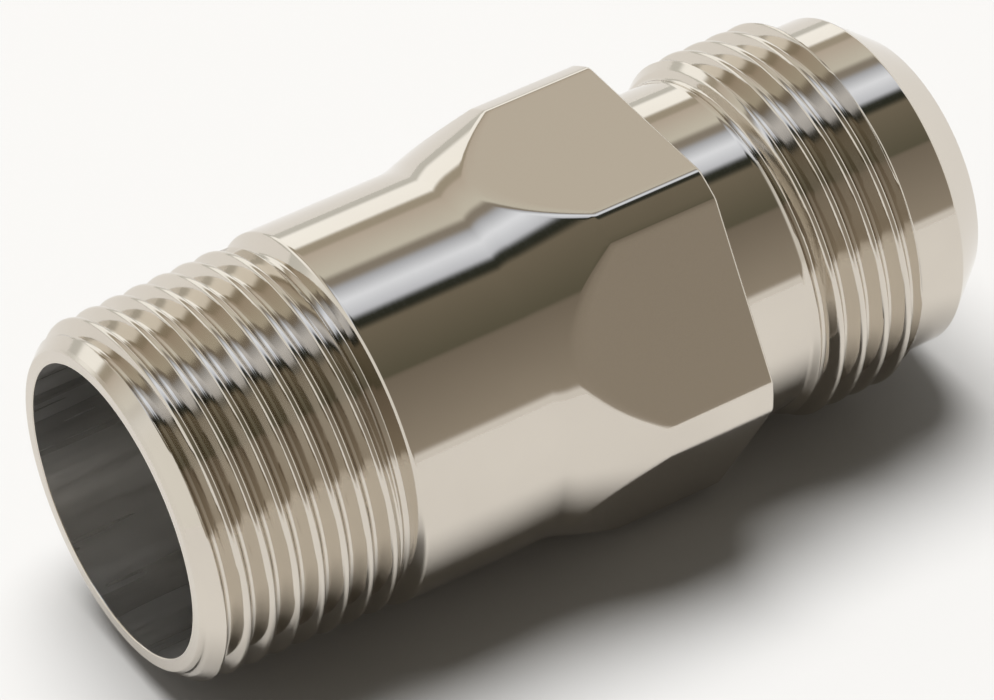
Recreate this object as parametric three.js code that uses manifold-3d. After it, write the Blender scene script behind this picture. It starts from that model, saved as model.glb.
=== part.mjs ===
// Carbon dioxide diffuser: a turned steel fitting, threaded at both ends, with a hexagon for a spanner.
// Gas enters at the coned nose, lifts a spring-loaded poppet off its seat and leaves as fine bubbles
// through a porous cup that stands in the wide bore of the open end.
// Millimetres. The axis of the fitting lies along X, the open end towards -X, the hexagon flat on Z = 0.

import * as THREE from 'three';
import { mergeVertices } from 'three/addons/utils/BufferGeometryUtils.js';
import Module from 'manifold-3d';

const wasm = await Module();
wasm.setup();

// ---------- Driving dimensions ----------

const FACETS = 30;                  // facets round the body
const SMALL_FACETS = 24;            // facets round the pieces inside it
const HOLE_SEGMENTS = 6;            // segments to each arc of a drilled plate
const DOME_STEPS = 5;               // steps over the rounded edge of the porous cup
const SPRING_STEPS = 16;            // steps to each turn of the spring
const WIRE_SEGMENTS = 3;            // segments to each arc of the spring's wire
const O_RING_FACETS = 10;           // facets round an O-ring's section
const MERGE_DISTANCE = 1e-4;        // two corners nearer than this are one
const SEAT_GAP = 0.3;               // between two pieces that seat on each other
const SLIDE_GAP = 0.3;              // round a piece that slides or drops into a bore

// Threads, which are the same 55 degree pipe form at both ends.
const PITCH = 2.309;
const THREAD_DEPTH = 1.48;
const THREAD_FLAT = 0.24;           // flat at crest and at root, as a share of the pitch
const THREAD_OVERRUN = 0.3;         // how far the tool that cuts a thread reaches past its crests
const THREAD_TAPER = 1 / 32;        // rise of the open thread's radius along its length
const THREAD_RELIEF_WIDTH = 0.5;
const THREAD_RELIEF_DEPTH = 1.15;   // under the last crest
const OPEN_GROOVE_LEAD = 2.7;       // how far before the open face its groove starts
const NOSE_GROOVE_LEAD = 1.8;       // how far before the nose thread its groove starts

// Outside of the body, from the open end to the nose.
const OPEN_THREAD_RADIUS = 16.25;   // at its small end
const OPEN_THREAD_LENGTH = 18.9;
const OPEN_FACE_WIDTH = 1.15;
const LEAD_CHAMFER_LENGTH = 2.0;
const BARREL_LENGTH = 14.6;
const SHOULDER_CHAMFER_LENGTH = 0.9;
const CONE_LENGTH = 8.0;
const HEX_ACROSS_FLATS = 35.0;
const HEX_FLAT_RISE = 0.5;          // how far each flat stands above the barrel
const HEX_CORNER_TURNED_OFF = 0.8;  // turned off each sharp corner
const HEX_LENGTH = 10.6;
const NECK_LENGTH = 6.6;
const UNDER_ROOT = 0.05;            // how far the turned places beside the nose thread lie under its root
const NOSE_THREAD_RADIUS = 16.85;
const NOSE_THREAD_LENGTH = 11.4;
const NOSE_LEAD_LENGTH = 1.8;
const BAND_LENGTH = 4.5;
const CONE_NOSE_LENGTH = 3.95;
const NOSE_FACE_RADIUS = 12.1;

// Inside of the body.
const OPEN_BORE_WALL = 1.52;        // metal between the root of the open thread and its bore
const OPEN_BORE_DEPTH = 45.0;
const CHAMBER_RADIUS = 8.5;
const CHAMBER_LENGTH = 19.0;
const INLET_RADIUS = 5.5;
const INLET_LENGTH = 9.5;
const STRAINER_BORE_RADIUS = 8.5;
const MOUTH_CHAMFER = 0.9;
const RING_GROOVE_DEPTH = 0.75;

// Pieces inside the open bore.
const CUP_RADIUS = 9.0;
const CUP_WALL = 2.2;
const CUP_LENGTH = 24.9;
const CUP_FLANGE_THICKNESS = 3.0;
const CUP_CLEARANCE = 0.85;         // between the cup and the rings that stand round it
const GASKET_THICKNESS = 1.5;
const WASHER_THICKNESS = 1.8;
const WAVE_HEIGHT = 2.1;
const WAVE_THICKNESS = 0.6;
const WAVES = 3;
const CIRCLIP_THICKNESS = 1.2;
const CIRCLIP_WIDTH = 2.2;
const CIRCLIP_LUG_ANGLE = 0.3;      // angle that each lug takes up, in radians
const CIRCLIP_LUG_HOLE_RADIUS = 0.8;

// Pieces inside the valve chamber.
const SNAP_RING_THICKNESS = 1.0;
const SNAP_RING_WIDTH = 2.1;
const RING_OPENING = 0.5;           // half the angle left open in a split ring, in radians
const GUIDE_THICKNESS = 2.0;
const GUIDE_RIM = 1.5;
const GUIDE_HUB_WALL = 1.5;
const GUIDE_ARMS = 4;
const GUIDE_ARM_WIDTH = 1.8;
const SLEEVE_WALL = 1.0;
const SEAT_LENGTH = 4.5;
const SEAT_BORE_RADIUS = 4.0;
const SEAT_LIP_HEIGHT = 0.6;
const SEAT_LIP_WIDTH = 0.9;
const O_RING_THICKNESS = 1.5;
const POPPET_HEAD_RADIUS = 6.2;
const POPPET_HEAD_THICKNESS = 1.2;
const POPPET_STEM_RADIUS = 1.5;
const POPPET_TIP_CHAMFER = 0.5;
const POPPET_BOSS_RADIUS = 2.4;
const POPPET_BOSS_LENGTH = 1.8;
const POPPET_STEM_PAST_GUIDE = 1.7;
const SEAL_THICKNESS = 1.5;
const SCREW_RADIUS = 0.9;
const SCREW_HEAD_RADIUS = 2.8;
const SCREW_HEAD_HEIGHT = 1.4;
const SCREW_HEAD_CHAMFER = 0.45;
const SCREW_IN_POPPET = 2.0;
const SCREW_SLOT_WIDTH = 0.7;
const SPRING_WIRE_RADIUS = 0.3;
const SPRING_RADIUS = 3.9;
const SPRING_TURNS = 4;

// Pieces at the nose.
const STRAINER_THICKNESS = 1.0;
const STRAINER_HOLE_RADIUS = 0.75;
const STRAINER_HOLE_SPACING = 2.6;

// ---------- Places worked out from them ----------

const openRootRadius = OPEN_THREAD_RADIUS - THREAD_DEPTH;
const noseRootRadius = NOSE_THREAD_RADIUS - THREAD_DEPTH;
const openBoreRadius = openRootRadius - OPEN_BORE_WALL;
const apothem = HEX_ACROSS_FLATS / 2;
const barrelRadius = apothem - HEX_FLAT_RISE;
const hexCornerRadius = apothem / Math.cos(Math.PI / 6) - HEX_CORNER_TURNED_OFF;
const lastCrestX = OPEN_THREAD_LENGTH - THREAD_DEPTH / 2;
const lastCrestRadius = OPEN_THREAD_RADIUS + THREAD_TAPER * (lastCrestX - LEAD_CHAMFER_LENGTH);
const reliefRadius = lastCrestRadius - THREAD_RELIEF_DEPTH;
const neckRadius = noseRootRadius - UNDER_ROOT;

const reliefEndX = OPEN_THREAD_LENGTH + THREAD_RELIEF_WIDTH;
const barrelStartX = reliefEndX + SHOULDER_CHAMFER_LENGTH;
const barrelEndX = barrelStartX + BARREL_LENGTH;
const hexStartX = barrelEndX + CONE_LENGTH;
const hexEndX = hexStartX + HEX_LENGTH;
const noseThreadStartX = hexEndX + NECK_LENGTH;
const noseThreadEndX = noseThreadStartX + NOSE_THREAD_LENGTH;
const bandEndX = noseThreadEndX + BAND_LENGTH;
const noseEndX = bandEndX + CONE_NOSE_LENGTH;

// The stack in the open bore is built from its shoulder towards the open end.
const rearGasketX = OPEN_BORE_DEPTH - SEAT_GAP - GASKET_THICKNESS;
const flangeX = rearGasketX - SEAT_GAP - CUP_FLANGE_THICKNESS;
const frontGasketX = flangeX - SEAT_GAP - GASKET_THICKNESS;
const washerX = frontGasketX - SEAT_GAP - WASHER_THICKNESS;
const waveX = washerX - SEAT_GAP - WAVE_HEIGHT;
const circlipX = waveX - SEAT_GAP - CIRCLIP_THICKNESS;
const stackRadius = openBoreRadius - SLIDE_GAP;
const stackInnerRadius = CUP_RADIUS + CUP_CLEARANCE;

// The valve is built from the open end of its chamber towards the inlet.
const chamberEndX = OPEN_BORE_DEPTH + CHAMBER_LENGTH;
const guideRingX = OPEN_BORE_DEPTH + 2 * SEAT_GAP;
const guideX = guideRingX + SNAP_RING_THICKNESS + SEAT_GAP;
const sleeveX = guideX + GUIDE_THICKNESS + SEAT_GAP;
const seatX = chamberEndX - SEAT_GAP - SEAT_LENGTH;
const sealX = seatX - SEAT_LIP_HEIGHT - SEAT_GAP - SEAL_THICKNESS;
const headX = sealX - SEAT_GAP - POPPET_HEAD_THICKNESS;
const valvePieceRadius = CHAMBER_RADIUS - SLIDE_GAP;

const inletEndX = chamberEndX + INLET_LENGTH;
const strainerX = inletEndX + SEAT_GAP;
const strainerRingX = strainerX + STRAINER_THICKNESS + SEAT_GAP;

// ---------- Shape helpers ----------

// Turns a geometry into a solid that manifold-3d can cut, and back.
function toSolid(geometry) {
  const bare = geometry.index ? geometry.clone() : mergeVertices(geometry);
  bare.deleteAttribute('normal');
  bare.deleteAttribute('uv');
  const merged = mergeVertices(bare, MERGE_DISTANCE);
  const index = merged.index.array;
  const triangles = [];
  for (let i = 0; i < index.length; i += 3) {
    const [a, b, c] = [index[i], index[i + 1], index[i + 2]];
    if (a !== b && b !== c && c !== a) triangles.push(a, b, c);
  }
  return new wasm.Manifold(new wasm.Mesh({
    numProp: 3,
    vertProperties: new Float32Array(merged.attributes.position.array),
    triVerts: new Uint32Array(triangles),
  }));
}

function toGeometry(solid) {
  const mesh = solid.getMesh();
  const geometry = new THREE.BufferGeometry();
  geometry.setAttribute('position', new THREE.BufferAttribute(mesh.vertProperties, 3));
  geometry.setIndex(new THREE.BufferAttribute(mesh.triVerts, 1));
  geometry.computeVertexNormals();
  return geometry;
}

// Revolves a profile of [x, radius] points about X. A ring repeats its first point to close its profile.
function turned(profile, facets) {
  const points = profile.map(([x, radius]) => new THREE.Vector2(radius, x));
  let area = 0;
  for (let i = 0; i < points.length; i += 1) {
    area += points[i].cross(points[(i + 1) % points.length]);
  }
  if (area < 0) points.reverse();
  return new THREE.LatheGeometry(points, facets).rotateZ(-Math.PI / 2);
}

function ringProfile(points) {
  return [...points, points[0]];
}

function plainRing(x, thickness, innerRadius, outerRadius, facets) {
  return turned(ringProfile([
    [x, innerRadius],
    [x + thickness, innerRadius],
    [x + thickness, outerRadius],
    [x, outerRadius],
  ]), facets);
}

// Extrudes a flat outline along X, from x to x + thickness.
function plate(shape, x, thickness, curveSegments) {
  const options = { depth: thickness, bevelEnabled: false, curveSegments };
  return new THREE.ExtrudeGeometry(shape, options).rotateY(Math.PI / 2).translate(x, 0, 0);
}

function roundHole(u, v, radius) {
  return new THREE.Path().absarc(u, v, radius, 0, 2 * Math.PI, true);
}

// A right-hand helical groove that cuts one thread: a channel that widens outwards, one pitch per turn
// along X. It starts above the axis, at startX, where the thread's crests have startRadius, and runs a
// little out of the crests. A tapered thread rises as it goes.
function threadGroove(startRadius, taper, startX, endX) {
  const rootRadius = startRadius - THREAD_DEPTH;
  const flankRun = (0.5 - THREAD_FLAT) * PITCH * (1 + THREAD_OVERRUN / THREAD_DEPTH);
  const rootHalf = THREAD_FLAT * PITCH / 2;
  const section = [
    [-rootHalf, rootRadius],
    [rootHalf, rootRadius],
    [rootHalf + flankRun, startRadius + THREAD_OVERRUN],
    [-rootHalf - flankRun, startRadius + THREAD_OVERRUN],
  ];
  const steps = Math.round((endX - startX) / PITCH * FACETS);
  const positions = [];
  for (let i = 0; i <= steps; i += 1) {
    const angle = -2 * Math.PI * i / FACETS;
    const advance = PITCH * i / FACETS;
    for (const [dx, sectionRadius] of section) {
      const radius = sectionRadius + taper * advance;
      positions.push(startX + advance + dx, radius * Math.sin(angle), radius * Math.cos(angle));
    }
  }
  const corners = section.length;
  const index = [];
  for (let i = 0; i < steps; i += 1) {
    for (let j = 0; j < corners; j += 1) {
      const a = i * corners + j;
      const b = i * corners + (j + 1) % corners;
      index.push(a, b, b + corners, a, b + corners, a + corners);
    }
  }
  const last = steps * corners;
  index.push(0, 2, 1, 0, 3, 2);
  index.push(last, last + 1, last + 2, last, last + 2, last + 3);
  const geometry = new THREE.BufferGeometry();
  geometry.setAttribute('position', new THREE.Float32BufferAttribute(positions, 3));
  geometry.setIndex(index);
  return geometry;
}

// A split ring that springs into a groove.
function splitRing(x, thickness, innerRadius, outerRadius) {
  const shape = new THREE.Shape();
  shape.absarc(0, 0, outerRadius, RING_OPENING, 2 * Math.PI - RING_OPENING, false);
  shape.absarc(0, 0, innerRadius, 2 * Math.PI - RING_OPENING, RING_OPENING, true);
  shape.closePath();
  return plate(shape, x, thickness, SMALL_FACETS / 2);
}

function material(color, roughness, metalness) {
  return new THREE.MeshStandardMaterial({ color, roughness, metalness });
}

function piece(name, geometry, finish) {
  const mesh = new THREE.Mesh(geometry, finish);
  mesh.name = name;
  return mesh;
}

// ---------- Finishes ----------

const polishedSteel = material('#b9b3a6', 0.12, 1.0);
const springSteel = material('#7d7f83', 0.3, 1.0);
const sinteredSteel = material('#8b857b', 0.85, 0.7);
const brass = material('#b8924a', 0.3, 1.0);
const rubber = material('#1b1c1d', 0.75, 0.0);

// ---------- Body ----------

function bodyOutside() {
  const openFaceRadius = openBoreRadius + OPEN_FACE_WIDTH;
  return [
    [0, openFaceRadius],
    [LEAD_CHAMFER_LENGTH, OPEN_THREAD_RADIUS],
    [lastCrestX, lastCrestRadius],
    [OPEN_THREAD_LENGTH, reliefRadius],
    [reliefEndX, reliefRadius],
    [barrelStartX, barrelRadius],
    [barrelEndX, barrelRadius],
    [hexStartX, hexCornerRadius],
    [hexEndX, hexCornerRadius],
    [hexEndX, neckRadius],
    [noseThreadStartX, neckRadius],
    [noseThreadStartX + NOSE_LEAD_LENGTH, NOSE_THREAD_RADIUS],
    [noseThreadEndX - THREAD_DEPTH / 2, NOSE_THREAD_RADIUS],
    [noseThreadEndX, neckRadius],
    [bandEndX, neckRadius],
    [noseEndX, NOSE_FACE_RADIUS],
  ];
}

// A groove for a split ring, from just outside one of the ring's faces to just outside the other.
function ringGroove(x, thickness, boreRadius) {
  const startX = x - SEAT_GAP / 2;
  const endX = x + thickness + SEAT_GAP / 2;
  const bottom = boreRadius + RING_GROOVE_DEPTH;
  return [
    [startX, boreRadius],
    [startX, bottom],
    [endX, bottom],
    [endX, boreRadius],
  ];
}

function bodyInside() {
  return [
    [0, openBoreRadius],
    ...ringGroove(circlipX, CIRCLIP_THICKNESS, openBoreRadius),
    [OPEN_BORE_DEPTH, openBoreRadius],
    [OPEN_BORE_DEPTH, CHAMBER_RADIUS],
    ...ringGroove(guideRingX, SNAP_RING_THICKNESS, CHAMBER_RADIUS),
    [chamberEndX, CHAMBER_RADIUS],
    [chamberEndX, INLET_RADIUS],
    [inletEndX, INLET_RADIUS],
    [inletEndX, STRAINER_BORE_RADIUS],
    ...ringGroove(strainerRingX, SNAP_RING_THICKNESS, STRAINER_BORE_RADIUS),
    [noseEndX - MOUTH_CHAMFER, STRAINER_BORE_RADIUS],
    [noseEndX, STRAINER_BORE_RADIUS + MOUTH_CHAMFER],
  ];
}

// Everything outside the six flats, over the length of the cone and the hexagon.
function flatsCutter() {
  const outline = new THREE.Shape().absarc(0, 0, 2 * hexCornerRadius, 0, 2 * Math.PI, false);
  const hexagon = new THREE.Path();
  const sharpRadius = apothem / Math.cos(Math.PI / 6);
  for (let i = 0; i < 6; i += 1) {
    const angle = -Math.PI / 3 * i + Math.PI / 6;
    const [u, v] = [sharpRadius * Math.cos(angle), sharpRadius * Math.sin(angle)];
    if (i === 0) hexagon.moveTo(u, v);
    else hexagon.lineTo(u, v);
  }
  hexagon.closePath();
  outline.holes.push(hexagon);
  const startX = barrelEndX - SEAT_GAP;
  return plate(outline, startX, hexEndX + SEAT_GAP - startX, HOLE_SEGMENTS);
}

function bodyGeometry() {
  const inside = bodyInside().reverse();
  const blank = toSolid(turned(ringProfile([...bodyOutside(), ...inside]), FACETS));
  const flats = toSolid(flatsCutter());
  const openGrooveX = -OPEN_GROOVE_LEAD;
  const openGrooveRadius = OPEN_THREAD_RADIUS + THREAD_TAPER * (openGrooveX - LEAD_CHAMFER_LENGTH);
  const noseGrooveX = noseThreadStartX - NOSE_GROOVE_LEAD;
  const openGroove = threadGroove(openGrooveRadius, THREAD_TAPER, openGrooveX, OPEN_THREAD_LENGTH);
  const noseGroove = threadGroove(NOSE_THREAD_RADIUS, 0, noseGrooveX, noseThreadEndX);
  const threaded = blank.subtract(toSolid(openGroove)).subtract(toSolid(noseGroove));
  return toGeometry(threaded.subtract(flats));
}

// ---------- Pieces in the open bore ----------

function porousCupGeometry() {
  const innerRadius = CUP_RADIUS - CUP_WALL;
  const openX = flangeX + CUP_FLANGE_THICKNESS;
  const tipX = openX - CUP_LENGTH;
  const dome = [];
  for (let i = 0; i <= DOME_STEPS; i += 1) {
    const angle = Math.PI / 2 * i / DOME_STEPS;
    const inFromTip = CUP_WALL * (1 - Math.sin(angle));
    const inFromSide = CUP_WALL * (1 - Math.cos(angle));
    dome.push([tipX + inFromTip, CUP_RADIUS - inFromSide]);
  }
  return turned([
    [tipX + CUP_WALL, 0],
    [tipX + CUP_WALL, innerRadius],
    [openX, innerRadius],
    [openX, stackRadius],
    [flangeX, stackRadius],
    [flangeX, CUP_RADIUS],
    ...dome,
    [tipX, 0],
  ], FACETS);
}

function gasketGeometry(x) {
  return plainRing(x, GASKET_THICKNESS, stackInnerRadius, stackRadius, FACETS);
}

function thrustWasherGeometry() {
  return plainRing(washerX, WASHER_THICKNESS, stackInnerRadius, stackRadius, FACETS);
}

// A flat ring whose faces rise and fall together round the circle.
function waveWasherGeometry() {
  const swing = (WAVE_HEIGHT - WAVE_THICKNESS) / 2;
  const ring = plainRing(waveX + swing, WAVE_THICKNESS, stackInnerRadius, stackRadius, FACETS);
  const place = ring.attributes.position;
  for (let i = 0; i < place.count; i += 1) {
    const angle = Math.atan2(place.getY(i), place.getZ(i));
    place.setX(i, place.getX(i) + swing * Math.cos(WAVES * angle));
  }
  return ring;
}

// An internal circlip: a split ring with a lug at each end, drilled for the pliers.
function circlipGeometry() {
  const outerRadius = openBoreRadius + RING_GROOVE_DEPTH - SEAT_GAP / 2;
  const innerRadius = outerRadius - CIRCLIP_WIDTH;
  const lugRadius = CUP_RADIUS + 2 * SEAT_GAP;
  const start = RING_OPENING / 2;
  const end = 2 * Math.PI - start;
  const shape = new THREE.Shape();
  shape.absarc(0, 0, outerRadius, start, end, false);
  shape.absarc(0, 0, lugRadius, end, end - CIRCLIP_LUG_ANGLE, true);
  shape.absarc(0, 0, innerRadius, end - CIRCLIP_LUG_ANGLE, start + CIRCLIP_LUG_ANGLE, true);
  shape.absarc(0, 0, lugRadius, start + CIRCLIP_LUG_ANGLE, start, true);
  shape.closePath();
  const holeReach = (lugRadius + outerRadius) / 2;
  for (const side of [-1, 1]) {
    const angle = side * (start + CIRCLIP_LUG_ANGLE / 2);
    const [u, v] = [holeReach * Math.cos(angle), holeReach * Math.sin(angle)];
    shape.holes.push(roundHole(u, v, CIRCLIP_LUG_HOLE_RADIUS));
  }
  return plate(shape, circlipX, CIRCLIP_THICKNESS, SMALL_FACETS / 2);
}

// ---------- Pieces in the valve chamber ----------

function snapRingGeometry(x, boreRadius) {
  const outerRadius = boreRadius + RING_GROOVE_DEPTH - SEAT_GAP / 2;
  return splitRing(x, SNAP_RING_THICKNESS, outerRadius - SNAP_RING_WIDTH, outerRadius);
}

// A rim and a hub joined by arms, with a gas passage between each two arms.
function stemGuideGeometry() {
  const hubRadius = POPPET_STEM_RADIUS + SLIDE_GAP + GUIDE_HUB_WALL;
  const rimRadius = valvePieceRadius - GUIDE_RIM;
  const shape = new THREE.Shape().absarc(0, 0, valvePieceRadius, 0, 2 * Math.PI, false);
  shape.holes.push(roundHole(0, 0, POPPET_STEM_RADIUS + SLIDE_GAP));
  for (let i = 0; i < GUIDE_ARMS; i += 1) {
    const middle = 2 * Math.PI * i / GUIDE_ARMS;
    const halfAtRim = Math.PI / GUIDE_ARMS - Math.asin(GUIDE_ARM_WIDTH / 2 / rimRadius);
    const halfAtHub = Math.PI / GUIDE_ARMS - Math.asin(GUIDE_ARM_WIDTH / 2 / hubRadius);
    const passage = new THREE.Path();
    passage.absarc(0, 0, rimRadius, middle + halfAtRim, middle - halfAtRim, true);
    passage.absarc(0, 0, hubRadius, middle - halfAtHub, middle + halfAtHub, false);
    passage.closePath();
    shape.holes.push(passage);
  }
  return plate(shape, guideX, GUIDE_THICKNESS, HOLE_SEGMENTS);
}

function spacerSleeveGeometry() {
  const length = seatX - SEAT_GAP - sleeveX;
  return plainRing(sleeveX, length, valvePieceRadius - SLEEVE_WALL, valvePieceRadius, SMALL_FACETS);
}

// The place of the O-ring: half way along the seat, its outside in line with the sleeve's.
const oRingX = seatX + SEAT_LENGTH / 2;
const oRingRadius = valvePieceRadius - O_RING_THICKNESS / 2;

// The seat: a bore ring with a lip on the poppet's side and a groove round it for an O-ring.
function valveSeatGeometry() {
  const endX = seatX + SEAT_LENGTH;
  const grooveHalf = O_RING_THICKNESS / 2 + SEAT_GAP / 2;
  const grooveRadius = oRingRadius - O_RING_THICKNESS / 2 - SEAT_GAP / 2;
  const lipRadius = SEAT_BORE_RADIUS + SEAT_LIP_WIDTH;
  return turned(ringProfile([
    [seatX - SEAT_LIP_HEIGHT, SEAT_BORE_RADIUS],
    [endX, SEAT_BORE_RADIUS],
    [endX, valvePieceRadius],
    [oRingX + grooveHalf, valvePieceRadius],
    [oRingX + grooveHalf, grooveRadius],
    [oRingX - grooveHalf, grooveRadius],
    [oRingX - grooveHalf, valvePieceRadius],
    [seatX, valvePieceRadius],
    [seatX, lipRadius + SEAT_LIP_WIDTH],
    [seatX - SEAT_LIP_HEIGHT, lipRadius],
  ]), SMALL_FACETS);
}

function seatORingGeometry() {
  const sectionRadius = O_RING_THICKNESS / 2;
  const torus = new THREE.TorusGeometry(oRingRadius, sectionRadius, O_RING_FACETS, SMALL_FACETS);
  return torus.rotateY(Math.PI / 2).translate(oRingX, 0, 0);
}

function poppetGeometry() {
  const tipX = guideX - POPPET_STEM_PAST_GUIDE;
  const faceX = headX + POPPET_HEAD_THICKNESS;
  const holeRadius = SCREW_RADIUS + SEAT_GAP;
  const holeEndX = faceX - SCREW_IN_POPPET - SEAT_GAP;
  return turned([
    [tipX, 0],
    [tipX, POPPET_STEM_RADIUS - POPPET_TIP_CHAMFER],
    [tipX + POPPET_TIP_CHAMFER, POPPET_STEM_RADIUS],
    [headX - POPPET_BOSS_LENGTH, POPPET_STEM_RADIUS],
    [headX - POPPET_BOSS_LENGTH, POPPET_BOSS_RADIUS],
    [headX, POPPET_BOSS_RADIUS],
    [headX, POPPET_HEAD_RADIUS],
    [faceX, POPPET_HEAD_RADIUS],
    [faceX, holeRadius],
    [holeEndX, holeRadius],
    [holeEndX, 0],
  ], SMALL_FACETS);
}

function poppetSealGeometry() {
  const innerRadius = SCREW_RADIUS + SEAT_GAP;
  return plainRing(sealX, SEAL_THICKNESS, innerRadius, POPPET_HEAD_RADIUS - SEAT_GAP, SMALL_FACETS);
}

function sealScrewGeometry() {
  const shankX = headX + POPPET_HEAD_THICKNESS - SCREW_IN_POPPET;
  const underHeadX = sealX + SEAL_THICKNESS + SEAT_GAP;
  const topX = underHeadX + SCREW_HEAD_HEIGHT;
  const blank = toSolid(turned([
    [shankX, 0],
    [shankX, SCREW_RADIUS],
    [underHeadX, SCREW_RADIUS],
    [underHeadX, SCREW_HEAD_RADIUS],
    [topX - SCREW_HEAD_CHAMFER, SCREW_HEAD_RADIUS],
    [topX, SCREW_HEAD_RADIUS - SCREW_HEAD_CHAMFER],
    [topX, 0],
  ], SMALL_FACETS));
  const slot = new THREE.BoxGeometry(SCREW_HEAD_HEIGHT, 3 * SCREW_HEAD_RADIUS, SCREW_SLOT_WIDTH);
  return toGeometry(blank.subtract(toSolid(slot.translate(topX, 0, 0))));
}

// The spring bears on the stem guide at one end and on the back of the poppet's head at the other.
class Helix extends THREE.Curve {
  constructor(startX, endX) {
    super();
    this.startX = startX;
    this.endX = endX;
  }

  getPoint(t, target = new THREE.Vector3()) {
    const angle = 2 * Math.PI * SPRING_TURNS * t;
    const x = this.startX + (this.endX - this.startX) * t;
    return target.set(x, SPRING_RADIUS * Math.sin(angle), SPRING_RADIUS * Math.cos(angle));
  }
}

function valveSpringGeometry() {
  const inset = SEAT_GAP + SPRING_WIRE_RADIUS;
  const path = new Helix(guideX + GUIDE_THICKNESS + inset, headX - inset);
  const wire = new THREE.Shape().absarc(0, 0, SPRING_WIRE_RADIUS, 0, 2 * Math.PI, false);
  return new THREE.ExtrudeGeometry(wire, {
    steps: SPRING_TURNS * SPRING_STEPS,
    extrudePath: path,
    curveSegments: WIRE_SEGMENTS,
  });
}

// ---------- Pieces at the nose ----------

// A drilled disc: holes on a triangular grid, as many as fit inside its rim.
function inletStrainerGeometry() {
  const radius = STRAINER_BORE_RADIUS - SLIDE_GAP;
  const shape = new THREE.Shape().absarc(0, 0, radius, 0, 2 * Math.PI, false);
  const reach = INLET_RADIUS - STRAINER_HOLE_RADIUS;
  const rows = Math.ceil(reach / STRAINER_HOLE_SPACING) + 1;
  for (let row = -rows; row <= rows; row += 1) {
    for (let column = -rows; column <= rows; column += 1) {
      const u = STRAINER_HOLE_SPACING * (column + row / 2);
      const v = STRAINER_HOLE_SPACING * row * Math.sin(Math.PI / 3);
      if (Math.hypot(u, v) <= reach) shape.holes.push(roundHole(u, v, STRAINER_HOLE_RADIUS));
    }
  }
  return plate(shape, strainerX, STRAINER_THICKNESS, HOLE_SEGMENTS);
}

// ---------- Assembly ----------

const diffuser = new THREE.Group();
diffuser.position.set(-noseEndX / 2, 0, apothem);

diffuser.add(piece('body', bodyGeometry(), polishedSteel));

const guideRing = snapRingGeometry(guideRingX, CHAMBER_RADIUS);
const strainerRing = snapRingGeometry(strainerRingX, STRAINER_BORE_RADIUS);

const bubbleStack = new THREE.Group();
bubbleStack.add(piece('rear_gasket', gasketGeometry(rearGasketX), rubber));
bubbleStack.add(piece('porous_cup', porousCupGeometry(), sinteredSteel));
bubbleStack.add(piece('front_gasket', gasketGeometry(frontGasketX), rubber));
bubbleStack.add(piece('thrust_washer', thrustWasherGeometry(), polishedSteel));
bubbleStack.add(piece('wave_washer', waveWasherGeometry(), springSteel));
bubbleStack.add(piece('circlip', circlipGeometry(), springSteel));
diffuser.add(bubbleStack);

const valve = new THREE.Group();
valve.add(piece('guide_snap_ring', guideRing, springSteel));
valve.add(piece('stem_guide', stemGuideGeometry(), brass));
valve.add(piece('spacer_sleeve', spacerSleeveGeometry(), brass));
valve.add(piece('valve_seat', valveSeatGeometry(), brass));
valve.add(piece('seat_o_ring', seatORingGeometry(), rubber));
valve.add(piece('valve_spring', valveSpringGeometry(), springSteel));
diffuser.add(valve);

const poppetGroup = new THREE.Group();
poppetGroup.add(piece('poppet', poppetGeometry(), brass));
poppetGroup.add(piece('poppet_seal', poppetSealGeometry(), rubber));
poppetGroup.add(piece('seal_screw', sealScrewGeometry(), polishedSteel));
valve.add(poppetGroup);

const noseFittings = new THREE.Group();
noseFittings.add(piece('inlet_strainer', inletStrainerGeometry(), polishedSteel));
noseFittings.add(piece('strainer_snap_ring', strainerRing, springSteel));
diffuser.add(noseFittings);

export default diffuser;
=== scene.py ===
# %% [markdown]
# # A turned steel carbon dioxide diffuser
# A diffuser of this kind is one bar of stainless steel, turned and bored on a lathe, with a pipe thread
# at each end and a hexagon milled between them for a spanner. Its working pieces drop into the bore: a
# porous cup that makes the bubbles, and a small spring valve that stops water from creeping back up the
# gas line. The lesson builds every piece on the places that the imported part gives, then finishes its
# metal.

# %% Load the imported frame
import math
import bmesh
import bpy
import numpy as np
from mathutils import Matrix, Vector


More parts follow.
